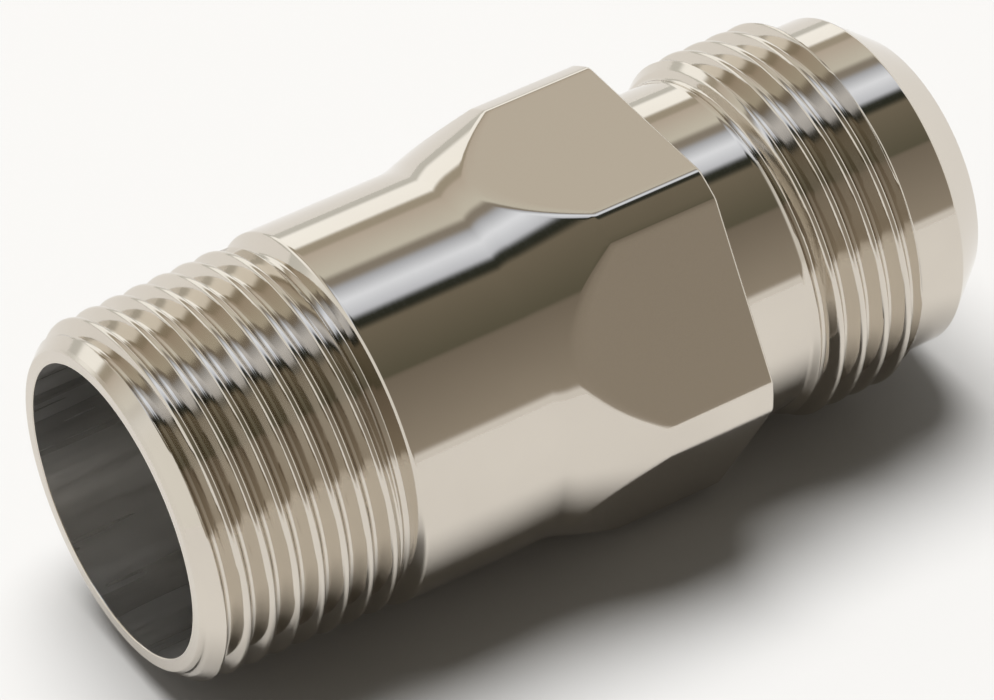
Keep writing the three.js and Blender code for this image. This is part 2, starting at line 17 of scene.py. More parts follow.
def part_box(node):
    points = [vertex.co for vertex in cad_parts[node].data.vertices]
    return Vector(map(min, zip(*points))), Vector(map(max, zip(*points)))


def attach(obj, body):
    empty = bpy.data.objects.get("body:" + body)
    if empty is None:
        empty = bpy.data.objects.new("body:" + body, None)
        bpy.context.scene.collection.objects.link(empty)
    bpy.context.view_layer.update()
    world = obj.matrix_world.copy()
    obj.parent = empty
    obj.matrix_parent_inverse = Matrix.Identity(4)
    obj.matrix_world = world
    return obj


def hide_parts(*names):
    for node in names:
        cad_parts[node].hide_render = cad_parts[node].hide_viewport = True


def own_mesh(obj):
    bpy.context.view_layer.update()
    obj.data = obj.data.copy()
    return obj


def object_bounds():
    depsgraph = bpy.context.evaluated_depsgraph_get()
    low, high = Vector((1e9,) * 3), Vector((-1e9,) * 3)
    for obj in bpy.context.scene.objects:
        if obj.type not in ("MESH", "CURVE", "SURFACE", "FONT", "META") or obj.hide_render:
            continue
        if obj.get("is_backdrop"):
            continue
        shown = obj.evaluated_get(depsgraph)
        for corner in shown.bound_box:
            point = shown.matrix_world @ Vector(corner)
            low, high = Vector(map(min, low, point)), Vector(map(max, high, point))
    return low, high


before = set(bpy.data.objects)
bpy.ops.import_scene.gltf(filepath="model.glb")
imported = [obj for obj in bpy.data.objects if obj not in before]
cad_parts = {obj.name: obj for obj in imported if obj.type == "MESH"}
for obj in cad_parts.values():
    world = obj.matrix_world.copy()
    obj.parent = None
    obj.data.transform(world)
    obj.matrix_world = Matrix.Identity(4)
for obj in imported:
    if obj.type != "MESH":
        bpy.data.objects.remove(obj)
START_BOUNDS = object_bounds()
MM = 0.001


def add_object(name, data):
    made = bpy.data.objects.new(name, data)
    bpy.context.scene.collection.objects.link(made)
    return made


def final_mesh(made):
    """The mesh of an object once its curve or its modifiers are worked out."""
    return bpy.data.meshes.new_from_object(made.evaluated_get(bpy.context.evaluated_depsgraph_get()))


# %% [markdown]
# ## The camera
# The fitting is seen from above its open end, with a long lens from about half a metre away, so its sides
# hardly draw together. The aim is a point near the middle of the barrel. Placing the camera from two
# angles, a small roll and a distance keeps each of the four easy to change by itself.

# %% Place the camera
AZIMUTH, ELEVATION, ROLL = math.radians(-30.87), math.radians(40.91), math.radians(-2.48)
AIM = Vector((-7.94, -9.96, 26.60)) * MM
DISTANCE = 491.6 * MM
LENS, SENSOR = 214.46, 36.0

back = Vector((math.sin(AZIMUTH) * math.cos(ELEVATION), -math.cos(AZIMUTH) * math.cos(ELEVATION),
               math.sin(ELEVATION)))
right = Vector((math.cos(AZIMUTH), math.sin(AZIMUTH), 0.0))
up = back.cross(right)
across = math.cos(ROLL) * right + math.sin(ROLL) * up
upward = -math.sin(ROLL) * right + math.cos(ROLL) * up
camera_data = bpy.data.cameras.new("camera")
camera_data.lens, camera_data.sensor_width = LENS, SENSOR
camera_data.dof.use_dof = False
camera = add_object("camera", camera_data)
turn = Matrix((across, upward, back)).transposed().to_4x4()
camera.matrix_world = Matrix.Translation(AIM + back * DISTANCE) @ turn
bpy.context.scene.camera = camera
print("camera at", [round(c / MM, 1) for c in camera.matrix_world.translation], "mm")

# %% [markdown]
# ## The sizes that the pieces share
# All lengths along the fitting are counted from its open face, in millimetres, as a maker would mark them
# off on the bar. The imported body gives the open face, the axis and the whole length. The turned steps
# between are named here, because the fine surface is built from the same steps.

# %% Name the sizes
BODY_LOW, BODY_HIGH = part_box("body")
OPEN_X = BODY_LOW.x / MM
AXIS_Z = (BODY_LOW.z + BODY_HIGH.z) / 2 / MM
LENGTH = (BODY_HIGH.x - BODY_LOW.x) / MM
APOTHEM = (BODY_HIGH.z - BODY_LOW.z) / 2 / MM

BORE, FACE_WIDTH, LEAD = 13.25, 1.15, 2.0
PITCH, THREAD_DEPTH, TAPER = 2.309, 1.48, 1 / 32
OPEN_CREST, OPEN_LAST_CREST, OPEN_THREAD_END, OPEN_RELIEF_END = 16.25, 18.16, 18.9, 19.4
OPEN_CREST_END = OPEN_CREST + TAPER * (OPEN_LAST_CREST - LEAD)
RELIEF = OPEN_CREST_END - 1.15
BARREL, BARREL_START, BARREL_END = APOTHEM - 0.5, 20.3, 34.9
HEX_START, HEX_END = 42.9, 53.5
HEX_CORNER = APOTHEM / math.cos(math.pi / 6) - 0.8
NOSE_CREST, NOSE_THREAD_START, NOSE_LEAD_END = 16.85, 60.1, 61.9
NOSE_LAST_CREST, NOSE_THREAD_END = 70.76, 71.5
NECK = NOSE_CREST - THREAD_DEPTH - 0.05
BAND_END, NOSE_FACE = 76.0, 12.1
CHAMBER, CHAMBER_START, CHAMBER_END, INLET, INLET_END = 8.5, 45.0, 64.0, 5.5, 73.5
print("length %.2f mm, across flats %.2f mm" % (LENGTH, 2 * APOTHEM))

# %% [markdown]
# ## Skins
# Nearly every piece here is turned, so its surface is a profile carried round the axis. A skin is a grid:
# each row goes once round the fitting and each column runs along it. Every point also carries the exact
# direction that its surface faces, so that polished steel mirrors its surroundings without ripples.

# %% Skin helpers
def place(x, radius, angle):
    """Points from places along, out from and round the axis. The angle runs from straight up towards -Y."""
    x, radius, angle = np.broadcast_arrays(x, radius, angle)
    return np.stack([(OPEN_X + x) * MM, -radius * np.sin(angle) * MM,
                     (AXIS_Z + radius * np.cos(angle)) * MM], axis=-1)


def facing(along, outward, around, angle):
    """Unit vectors from their shares along the axis, outward and round it."""
    along, outward, around, angle = np.broadcast_arrays(along, outward, around, angle)
    v = np.stack([along, -outward * np.sin(angle) - around * np.cos(angle),
                  outward * np.cos(angle) - around * np.sin(angle)], axis=-1)
    return v / np.linalg.norm(v, axis=-1, keepdims=True)


def make_mesh(name, points, faces, normals=None):
    mesh = bpy.data.meshes.new(name)
    mesh.from_pydata([tuple(p) for p in points], [], faces)
    mesh.polygons.foreach_set("use_smooth", [True] * len(mesh.polygons))
    if normals is not None:
        mesh.normals_split_custom_set_from_vertices([tuple(n) for n in normals])
    mesh.update()
    return add_object(name, mesh)


def skin(name, points, normals, loop=True, poles=False):
    """Joins rows of points into one surface. loop closes the last row to the first; poles closes the two
    ends on the axis instead."""
    rows, columns = points.shape[:2]
    flat_points = list(points.reshape(-1, 3))
    flat_normals = list(normals.reshape(-1, 3))
    faces = []
    for i in range(rows if loop else rows - 1):
        k = (i + 1) % rows
        for j in range(columns):
            m = (j + 1) % columns
            faces.append((i * columns + j, i * columns + m, k * columns + m, k * columns + j))
    middle = faces[len(faces) // 2]
    a, b, c, d = (flat_points[n] for n in middle)
    turned_over = float(np.dot(np.cross(c - a, d - b), flat_normals[middle[0]])) < 0
    if poles:
        for i in (0, rows - 1):
            centre = points[i].mean(axis=0)
            flat_points.append(centre)
            flat_normals.append(normals[i].mean(axis=0))
            tip = len(flat_points) - 1
            for j in range(columns):
                m = (j + 1) % columns
                ends = (i * columns + j, i * columns + m)
                faces.append((tip, ends[1], ends[0]) if i == 0 else (tip, ends[0], ends[1]))
    if turned_over:
        faces = [f[::-1] for f in faces]
    return make_mesh(name, flat_points, faces, flat_normals)


print("skin helpers ready")

# %% [markdown]
# ## Rounded profiles
# No edge on a turned piece is left quite sharp: the turner breaks each one with a file. This helper takes
# the sharp corners of a profile and rounds each by its own size, and a turned piece is then one such
# profile carried round the axis.

# %% Profile helpers
def rounded(corners, radius, closed=True, steps=4):
    """A profile of (x, radius) corners with each corner rounded, as rows of (x, r, along, outward).
    radius is one size or one for each corner. The last two of each row give the way out of the metal."""
    count = len(corners)
    corners = [np.array(c, float) for c in corners]
    radii = [radius] * count if np.isscalar(radius) else list(radius)
    area = sum(corners[i][0] * corners[(i + 1) % count][1] - corners[(i + 1) % count][0] * corners[i][1]
               for i in range(count))
    side = 1.0 if area > 0 else -1.0

    def outward(direction):
        return np.array([direction[1], -direction[0]]) * side

    out = []
    for i in range(count):
        here = corners[i]
        if not closed and i in (0, count - 1):
            step = corners[1] - here if i == 0 else here - corners[i - 1]
            out.append((*here, *outward(step / np.linalg.norm(step))))
            continue
        before, after = here - corners[i - 1], corners[(i + 1) % count] - here
        reach_in, reach_out = np.linalg.norm(before), np.linalg.norm(after)
        d0, d1 = before / reach_in, after / reach_out
        turn_angle = math.atan2(d0[0] * d1[1] - d0[1] * d1[0], float(d0 @ d1))
        tangent = radii[i] * abs(math.tan(turn_angle / 2))
        tangent = min(tangent, 0.45 * reach_in, 0.45 * reach_out)
        n0 = outward(d0)
        size = tangent / max(abs(math.tan(turn_angle / 2)), 1e-9)
        bulge = 1.0 if turn_angle * side > 0 else -1.0
        centre = here - d0 * tangent - n0 * size * bulge
        for s in range(steps + 1):
            share = turn_angle * s / steps
            n = np.array([n0[0] * math.cos(share) - n0[1] * math.sin(share),
                          n0[0] * math.sin(share) + n0[1] * math.cos(share)])
            out.append((*(centre + n * size * bulge), *n))
    return np.array(out)


def turned(name, corners, radius, columns=96, poles=False, steps=4, wave=None):
    """A turned piece. wave, if given, is the height and number of waves that its faces rise and fall by."""
    profile = rounded(corners, radius, closed=not poles, steps=steps)
    if poles:
        profile = profile[profile[:, 1] > -1e-9]
        profile[:, 1] = np.maximum(profile[:, 1], 0.02)
    angle = np.linspace(0, 2 * math.pi, columns, endpoint=False)
    x, r, along, out = (profile[:, k:k + 1] for k in range(4))
    shift = slope = 0 * angle
    if wave:
        shift = wave[0] * np.cos(wave[1] * angle)
        slope = -wave[0] * wave[1] * np.sin(wave[1] * angle)
    points = place(x + shift, r, angle)
    normals = facing(along, out, -along * slope / r, angle)
    return skin(name, points, normals, loop=not poles, poles=poles)


print("skins ready")

# %% [markdown]
# ## Plates
# Circlips, washers with holes and the strainer are stamped from sheet, so each is a flat outline with a
# thickness and a slightly broken edge. A filled curve does exactly that: outlines inside the outer one
# become holes, and its bevel breaks every edge at once.

# %% Plate helpers
def circle(u, v, radius, steps=48):
    return [(u + radius * math.cos(2 * math.pi * i / steps), v + radius * math.sin(2 * math.pi * i / steps))
            for i in range(steps)]


def arc(radius, start, end, steps=24):
    return [(radius * math.cos(start + (end - start) * i / steps),
             radius * math.sin(start + (end - start) * i / steps)) for i in range(steps + 1)]


def plate(name, outlines, x, thickness, edge):
    """A stamped plate from x to x + thickness. The first direction of an outline is downward, the second
    sideways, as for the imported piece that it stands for."""
    data = bpy.data.curves.new(name, "CURVE")
    data.dimensions, data.fill_mode = "2D", "BOTH"
    data.extrude = (thickness / 2 - edge) * MM
    data.bevel_depth, data.bevel_resolution, data.offset = edge * MM, 2, -edge * MM
    for outline in outlines:
        spline = data.splines.new("POLY")
        spline.points.add(len(outline) - 1)
        for point, (u, v) in zip(spline.points, outline):
            point.co = (u * MM, v * MM, 0.0, 1.0)
        spline.use_cyclic_u = True
    helper = add_object(name + "_outline", data)
    mesh = final_mesh(helper)
    bpy.data.objects.remove(helper)
    stand = Matrix(((0, 0, 1, (OPEN_X + x + thickness / 2) * MM), (0, 1, 0, 0),
                    (-1, 0, 0, AXIS_Z * MM), (0, 0, 0, 1)))
    mesh.transform(stand)
    work = bmesh.new()
    work.from_mesh(mesh)
    bmesh.ops.remove_doubles(work, verts=work.verts, dist=1e-7)
    bmesh.ops.recalc_face_normals(work, faces=work.faces)
    for face in work.faces:
        face.smooth = abs(face.normal.x) < 0.999
    work.to_mesh(mesh)
    work.free()
    return add_object(name, mesh)


print("plates ready")

# %% [markdown]
# ## Patterns in the finishes
# Turned steel keeps the fine rings that the tool left, and they smear a reflection across themselves.
# Sintered metal and rubber have a grain instead. Each pattern is kept as a group of nodes that gives only
# numbers, so that several finishes can share it and each decides for itself what the numbers do.

# %% Pattern helpers
def group(name, inputs, outputs):
    tree = bpy.data.node_groups.new(name, "ShaderNodeTree")
    for label, kind, value in inputs:
        socket = tree.interface.new_socket(label, in_out="INPUT", socket_type=kind)
        if value is not None:
            socket.default_value = value
    for label, kind in outputs:
        tree.interface.new_socket(label, in_out="OUTPUT", socket_type=kind)
    start, end = tree.nodes.new("NodeGroupInput"), tree.nodes.new("NodeGroupOutput")
    return tree, start, end


def node(tree, kind, settings=None, **values):
    made = tree.nodes.new(kind)
    for key, value in (settings or {}).items():
        setattr(made, key, value)
    for key, value in values.items():
        made.inputs[key.replace("_", " ")].default_value = value
    return made


def math_node(tree, operation, *values):
    """A sum of numbers and of other nodes' outputs."""
    made = node(tree, "ShaderNodeMath", {"operation": operation})
    for socket, value in zip(made.inputs, values):
        if isinstance(value, (int, float)):
            socket.default_value = value
        else:
            tree.links.new(value, socket)
    return made.outputs[0]


def noise(tree, vector, scale, rough):
    made = node(tree, "ShaderNodeTexNoise", None, Scale=scale, Detail=3.0, Roughness=rough)
    tree.links.new(vector, made.inputs["Vector"])
    return made.outputs[0]


print("pattern helpers ready")

# %% [markdown]
# ## Rings and grain
# One group gives the rings that a lathe tool leaves, together with broad soft patches. The other gives a
# fine grain and small cells, for powder metal and rubber. Both read the place on the object itself, so
# the marks stay with the piece when it moves.

# %% Two patterns
SCALAR, VECTOR = "NodeSocketFloat", "NodeSocketVector"

turning, start, end = group("turning_marks",
                            [("Vector", VECTOR, None), ("Spacing", SCALAR, 0.08), ("Sweep", SCALAR, 60.0)],
                            [("Marks", SCALAR), ("Patches", SCALAR)])
split = node(turning, "ShaderNodeSeparateXYZ")
turning.links.new(start.outputs["Vector"], split.inputs[0])
height = math_node(turning, "SUBTRACT", split.outputs[2], AXIS_Z * MM)
radius_here = math_node(turning, "SQRT", math_node(turning, "ADD",
                        math_node(turning, "MULTIPLY", split.outputs[1], split.outputs[1]),
                        math_node(turning, "MULTIPLY", height, height)))
run = math_node(turning, "ADD", split.outputs[0], math_node(turning, "MULTIPLY", radius_here, 1.37))
rings = math_node(turning, "DIVIDE", run, math_node(turning, "MULTIPLY", start.outputs["Spacing"], MM))
side_way = math_node(turning, "MULTIPLY", split.outputs[1], start.outputs["Sweep"])
up_way = math_node(turning, "MULTIPLY", height, start.outputs["Sweep"])
stretched = node(turning, "ShaderNodeCombineXYZ")
for socket, value in zip(stretched.inputs, (rings, side_way, up_way)):
    turning.links.new(value, socket)
marks = noise(turning, stretched.outputs[0], 1.0, 0.6)
patches = noise(turning, start.outputs["Vector"], 90.0, 0.55)
turning.links.new(marks, end.inputs["Marks"])
turning.links.new(patches, end.inputs["Patches"])

grain, start, end = group("fine_grain",
                          [("Vector", VECTOR, None), ("Size", SCALAR, 0.15)],
                          [("Grain", SCALAR), ("Cells", SCALAR)])
per_metre = math_node(grain, "DIVIDE", 1.0, math_node(grain, "MULTIPLY", start.outputs["Size"], MM))
fine = node(grain, "ShaderNodeTexNoise", None, Detail=3.0)
cells = node(grain, "ShaderNodeTexVoronoi")
for texture in (fine, cells):
    grain.links.new(start.outputs["Vector"], texture.inputs["Vector"])
    grain.links.new(per_metre, texture.inputs["Scale"])
grain.links.new(fine.outputs[0], end.inputs["Grain"])
grain.links.new(cells.outputs["Distance"], end.inputs["Cells"])
print("patterns", turning.name, grain.name)

# %% [markdown]
# ## The finishes
# The body is bright stainless steel with a warm cast from its surroundings. The outside is polished after
# turning, the flats of the hexagon are only milled and buffed, and the bore keeps the dull grey of a
# boring tool. The pieces inside are spring steel, sintered steel, turned brass and black rubber.

# %% Finish helper
def finish(name, size, tones, rough, bump, pattern=turning, output="Marks", metallic=1.0, sweep=60.0):
    """A finish from one pattern: two tones, two roughnesses and a height of bump in millimetres."""
    made = bpy.data.materials.new(name)
    made.use_nodes = True
    tree = made.node_tree
    shader = tree.nodes["Principled BSDF"]
    place_node = node(tree, "ShaderNodeTexCoord")
    pattern_node = node(tree, "ShaderNodeGroup", {"node_tree": pattern})
    tree.links.new(place_node.outputs["Object"], pattern_node.inputs["Vector"])
    if pattern == turning:
        pattern_node.inputs["Spacing"].default_value = size
        pattern_node.inputs["Sweep"].default_value = sweep
        broad = pattern_node.outputs["Patches"]
    else:
        pattern_node.inputs["Size"].default_value = size
        broad = pattern_node.outputs["Grain"]
    tone = node(tree, "ShaderNodeMix", {"data_type": "RGBA"})
    tone.inputs[6].default_value = (*tones[0], 1.0)
    tone.inputs[7].default_value = (*tones[1], 1.0)
    spread = node(tree, "ShaderNodeMapRange", None, From_Min=0.3, From_Max=0.7)
    tree.links.new(broad, spread.inputs["Value"])
    tree.links.new(spread.outputs[0], tone.inputs[0])
    tree.links.new(tone.outputs[2], shader.inputs["Base Color"])
    dull = node(tree, "ShaderNodeMapRange", None, From_Min=0.3, From_Max=0.7,
                To_Min=rough[0], To_Max=rough[1])
    tree.links.new(pattern_node.outputs[output], dull.inputs["Value"])
    tree.links.new(dull.outputs[0], shader.inputs["Roughness"])
    bump_node = node(tree, "ShaderNodeBump", None, Strength=1.0, Distance=bump * MM)
    tree.links.new(pattern_node.outputs[output], bump_node.inputs["Height"])
    tree.links.new(bump_node.outputs[0], shader.inputs["Normal"])
    shader.inputs["Metallic"].default_value = metallic
    return made


print("finish helper ready")

# %% [markdown]
# ## The metals and the rubber
# Every finish is the same helper with its own pattern, two tones and a range of roughness. The bore
# differs from the rest: its marks are stretched along the bar, as long strokes of a honing stone leave
# them.

# %% Ten finishes
STEEL = ((0.680, 0.632, 0.560), (0.645, 0.598, 0.530))
polished = finish("polished_turned_steel", 0.20, STEEL, (0.035, 0.075), 0.0007)
threaded = finish("cut_thread_steel", 0.08, STEEL, (0.06, 0.12), 0.0003)
buffed = finish("buffed_flat_steel", 0.10, STEEL, (0.10, 0.15), 0.0004, grain, "Grain")
faced = finish("faced_steel", 0.10, STEEL, (0.14, 0.24), 0.0006)
bored = finish("bored_steel", 45.0, ((0.84, 0.83, 0.81), (0.68, 0.67, 0.65)), (0.20, 0.44), 0.06,
               sweep=420.0)
spring_metal = finish("spring_steel", 0.12, ((0.34, 0.345, 0.36), (0.27, 0.275, 0.29)), (0.22, 0.34),
                      0.0008)
plain_metal = finish("plain_turned_steel", 0.10, ((0.62, 0.59, 0.54), (0.55, 0.53, 0.49)), (0.14, 0.24),
                     0.0006)
sintered = finish("sintered_steel", 0.16, ((0.36, 0.34, 0.31), (0.20, 0.19, 0.175)), (0.5, 0.75), 0.10,
                  grain, "Cells", 0.85)
brass = finish("turned_brass", 0.10, ((0.74, 0.53, 0.24), (0.62, 0.42, 0.17)), (0.16, 0.28), 0.0006)
rubber = finish("black_rubber", 0.06, ((0.022, 0.022, 0.023), (0.034, 0.034, 0.036)), (0.48, 0.62), 0.006,
                grain, "Grain", 0.0)
print("finishes", len(bpy.data.materials))

# %% [markdown]
# ## Settling a piece
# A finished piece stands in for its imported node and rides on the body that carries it. Doing both in one
# helper, with a measure of how far the piece passes its packed box, keeps the pieces honest.

# %% Settling helper
def settle(piece, node_name, body, slot, *finishes):
    """Dresses a piece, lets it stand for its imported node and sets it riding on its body."""
    for made in finishes:
        piece.data.materials.append(made)
    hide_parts(node_name)
    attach(piece, body)
    low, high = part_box(node_name)
    corners = np.array([v.co for v in piece.data.vertices])
    over = max(max(low[i] - corners[:, i].min(), corners[:, i].max() - high[i]) for i in range(3))
    print("%-22s %6d points, %.2f mm over its packed box" % (piece.name, len(corners), over / MM))
    return piece


# %% [markdown]
# ## The outside of the body
# The outside is a turned outline, cut by a thread at each end and by six flats. Each of these gives a
# radius at every place along and round the bar, and the metal that is left is the least of them. Taking a
# softened least rounds every edge that the cutters left, as polishing does.

# %% Outline of the outside
FLANK = math.radians(27.5)                 # half the angle of the pipe thread
THREAD_ROUND = 0.1373 * PITCH              # rounding at its crests and roots
EDGE_SOFTNESS, FLAT_SOFTNESS = 0.08, 0.15
OPEN_PHASE, NOSE_PHASE = -2.7, NOSE_THREAD_START - 1.8
RUN_OUT_START, RUN_OUT_SLOPE = 18.0, 1.2   # where and how steeply the open thread fades out
THREAD_BEFORE, THREAD_AFTER = 0.5, 0.2     # how far the nose thread's tool reaches past its ends
SECTOR = math.pi / 3                       # the angle from one flat to the next
UNCUT = 99.0                               # a radius well outside the bar, where a tool doesn't cut

OUTLINE = [
    (0.0, BORE + FACE_WIDTH, 0), (LEAD, OPEN_CREST, 0.10), (OPEN_LAST_CREST, OPEN_CREST_END, 0.06),
    (OPEN_THREAD_END, RELIEF, 0.12), (OPEN_RELIEF_END, RELIEF, 0.12),
    (BARREL_START, BARREL, 0.12), (BARREL_END, BARREL, 0.9), (HEX_START, HEX_CORNER, 0.15),
    (HEX_END, HEX_CORNER, 0),
]
NOSE_OUTLINE = [
    (HEX_END, NECK, 0), (NOSE_THREAD_START, NECK, 0.15), (NOSE_LEAD_END, NOSE_CREST, 0.12),
    (NOSE_LAST_CREST, NOSE_CREST, 0.06), (NOSE_THREAD_END, NECK, 0.12), (BAND_END, NECK, 0.10),
    (LENGTH, NOSE_FACE, 0),
]
print("steps in the outline", len(OUTLINE) + len(NOSE_OUTLINE) - 1)

# %% [markdown]
# ## From outline to radius
# The outline is a run of straight steps. Where two meet, the change of slope is blended over a short
# reach, so the corner comes out round. The thread has its own height over one pitch, with rounded crests
# and roots, as a threading insert cuts it.

# %% Outline and thread height
def outline_radius(x, outline):
    """The radius of a run of straight steps, with each corner rounded over the reach given for it."""
    slopes = [(b[1] - a[1]) / (b[0] - a[0]) for a, b in zip(outline, outline[1:])]
    radius = outline[0][1] + slopes[0] * (x - outline[0][0])
    for i in range(1, len(outline) - 1):
        reach = max(outline[i][2], 1e-6)
        d = x - outline[i][0]
        ramp = np.where(d < -reach, 0.0, np.where(d > reach, d, (d + reach) ** 2 / (4 * reach)))
        radius = radius + (slopes[i] - slopes[i - 1]) * ramp
    return radius


def thread_height(distance):
    """Height of the thread above its root at a distance from the middle of its groove."""
    half = PITCH / 2
    bend = THREAD_ROUND * math.cos(FLANK)
    at_bend = THREAD_ROUND * (1 - math.sin(FLANK))
    top = 2 * at_bend + (half - 2 * bend) / math.tan(FLANK)
    low = THREAD_ROUND - np.sqrt(np.maximum(THREAD_ROUND ** 2 - distance ** 2, 0))
    high = top - THREAD_ROUND + np.sqrt(np.maximum(THREAD_ROUND ** 2 - (half - distance) ** 2, 0))
    flank = at_bend + (distance - bend) / math.tan(FLANK)
    return np.where(distance < bend, low, np.where(distance > half - bend, high, flank))


def soft_least(a, b, softness):
    near = np.maximum(softness - np.abs(a - b), 0) / softness
    return np.minimum(a, b) - near * near * softness / 4


print("thread helpers ready")

# %% [markdown]
# ## Cutting the threads and the flats
# At each place the radius is the least of the turned outline, the thread and the flat. The open thread is
# tapered, so its crests rise along the bar, and it fades out before the shoulder. The way the surface
# faces is measured by small steps along and round the bar.

# %% Radius of the outside
def off_middle(angle):
    """The angle from the middle of the nearest flat."""
    return np.abs(angle / SECTOR - np.round(angle / SECTOR)) * SECTOR


def outside_radius(x, angle):
    forward = x > HEX_END
    radius = np.where(forward, outline_radius(x, NOSE_OUTLINE), outline_radius(x, OUTLINE))
    phase = np.where(forward, NOSE_PHASE, OPEN_PHASE) + PITCH * angle / (2 * math.pi)
    distance = np.abs((x - phase) / PITCH - np.round((x - phase) / PITCH)) * PITCH
    crest = np.where(forward, NOSE_CREST, OPEN_CREST + TAPER * (x - LEAD))
    run_out = np.where(forward, 0, RUN_OUT_SLOPE * np.maximum(x - RUN_OUT_START, 0))
    thread = crest - THREAD_DEPTH + thread_height(distance) + run_out
    in_nose_thread = (x > NOSE_THREAD_START - THREAD_BEFORE) & (x < NOSE_THREAD_END + THREAD_AFTER)
    in_thread = (x < OPEN_RELIEF_END) | in_nose_thread
    radius = soft_least(radius, np.where(in_thread, thread, UNCUT), EDGE_SOFTNESS)
    flat = np.where((x > BARREL_START) & (x < HEX_END + 1e-6), APOTHEM / np.cos(off_middle(angle)), UNCUT)
    return soft_least(radius, flat, FLAT_SOFTNESS)


def outside_rows(x, angle):
    """Points and facings on the outside at places x along and angle round."""
    h = 1e-3
    r = outside_radius(x, angle)
    along = (outside_radius(x + h, angle) - outside_radius(x - h, angle)) / (2 * h)
    around = (outside_radius(x, angle + h) - outside_radius(x, angle - h)) / (2 * h) / r
    return place(x, r, angle), facing(-along, 1, -around, angle)


print("outside is %.2f mm in radius at the hexagon corners" % HEX_CORNER)

# %% [markdown]
# ## Columns round the bar
# The columns crowd together where a flat ends, because that edge turns sharply, and stand wide apart
# across the flats.

# %% Columns
FLAT_EDGE = math.degrees(math.acos(APOTHEM / HEX_CORNER))
half_sector = [0, 3, 6, 9, 12, 15, 18, 20.5, 22.5, 24, FLAT_EDGE - 0.75, FLAT_EDGE - 0.4, FLAT_EDGE,
               FLAT_EDGE + 0.35, FLAT_EDGE + 0.7, 27.8, 30]
sector_angles = sorted({-a for a in half_sector[1:-1]} | set(half_sector))
ANGLES = np.radians(np.array([60 * k + a for k in range(6) for a in sector_angles]))
COLUMNS = len(ANGLES)
print("columns", COLUMNS, "flat edge at", round(FLAT_EDGE, 2), "degrees")

# %% [markdown]
# ## Rows that follow the edges of the flats
# A flat meets the cone behind it in a rounded edge shaped like the end of a tongue. Rows that follow that
# edge keep it crisp with few faces. Across the threads the rows are close and even, since every crest
# passes through every row as it winds.

# %% Rows over the barrel and the hexagon
THREAD_STEP = 0.125
FIRST_ROW = 0.3                            # the first row behind the open face
EDGE_ROUND, NECK_FILLET = 0.28, 0.3
POLISHED_KIND, THREAD_KIND, FLAT_KIND, FACED_KIND, BORED_KIND = range(5)
sector = off_middle(ANGLES)
cone_slope = (HEX_CORNER - BARREL) / (HEX_START - BARREL_END)
flat_start = np.minimum(BARREL_END + (APOTHEM / np.cos(sector) - BARREL) / cone_slope, HEX_START)


def spaced(a, b, step):
    return list(np.linspace(a, b, max(2, int(round((b - a) / step)) + 1)))


def joined(*runs):
    out = []
    for run_values in runs:
        out += [v for v in run_values if not out or v > out[-1] + 1e-6]
    return out


first = joined(spaced(FIRST_ROW, BARREL_START + 0.2, THREAD_STEP), [21.5, 25, 29, 32, 33.4],
               spaced(34.0, 35.8, 0.2))
xs = [np.full(COLUMNS, v) for v in first]
cone_from, edge_reach = first[-1], 0.24
for share in np.linspace(0, 1, 11)[1:]:
    xs.append(cone_from + (flat_start - edge_reach - cone_from) * share)
for offset in (-0.16, -0.08, 0.0, 0.08, 0.16, 0.24):
    xs.append(flat_start + offset)
for share in np.linspace(0, 1, 15)[1:]:
    xs.append(flat_start + edge_reach + (HEX_END - EDGE_ROUND - flat_start - edge_reach) * share)
points, normals = outside_rows(np.array(xs), ANGLES)
kinds = [THREAD_KIND if row.max() < OPEN_RELIEF_END else POLISHED_KIND for row in xs]
print("rows up to the shoulder", len(points))

# %% [markdown]
# ## The square shoulder
# Behind the nose thread the hexagon ends in a square shoulder with a small broken edge, and a fillet runs
# from its foot into the neck. A few rows turn round each of these, so both catch a thin line of light.

# %% Shoulder and fillet
last_points, last_normals = points[-1], normals[-1]
axis_x = np.array([1.0, 0.0, 0.0])
edge_points, edge_normals = [], []
for t in np.radians([18, 36, 54, 72, 90]):
    shift = math.sin(t) * axis_x - (1 - math.cos(t)) * last_normals
    edge_points.append(last_points + EDGE_ROUND * MM * shift)
    edge_normals.append(math.cos(t) * last_normals + math.sin(t) * axis_x)
foot = place(HEX_END, NECK + NECK_FILLET, ANGLES)
for share in (0.06, 0.5, 0.94):
    edge_points.append(edge_points[4] * (1 - share) + foot * share)
    edge_normals.append(np.tile(axis_x, (COLUMNS, 1)))
for t in np.radians([0, 22.5, 45, 67.5, 90]):
    at = HEX_END + NECK_FILLET * (1 - math.cos(t))
    r = NECK + NECK_FILLET * (1 - math.sin(t))
    edge_points.append(place(at, r, ANGLES))
    edge_normals.append(facing(math.cos(t), math.sin(t), 0, ANGLES))
points = np.concatenate([points, np.array(edge_points)])
normals = np.concatenate([normals, np.array(edge_normals)])
kinds += [FACED_KIND] * len(edge_points)
print("rows up to the neck", len(points))

# %% [markdown]
# ## Rows along the nose
# The neck, the second thread, the plain band and the coned nose follow in one run. The rows are close
# across the thread and at the corner of the band, and few elsewhere.

# %% Rows along the nose
second = joined([HEX_END + 0.5, 56.0, 58.0], spaced(58.3, NOSE_THREAD_END + 0.3, THREAD_STEP),
                [72.4, 74.0, 75.6], spaced(75.8, 76.2, 0.1), [77.0, 78.2, 79.65])
more_points, more_normals = outside_rows(np.array(second)[:, None], ANGLES)
points = np.concatenate([points, more_points])
normals = np.concatenate([normals, more_normals])
kinds += [THREAD_KIND if NOSE_THREAD_START < v < NOSE_THREAD_END else POLISHED_KIND for v in second]
print("outside rows", len(points))

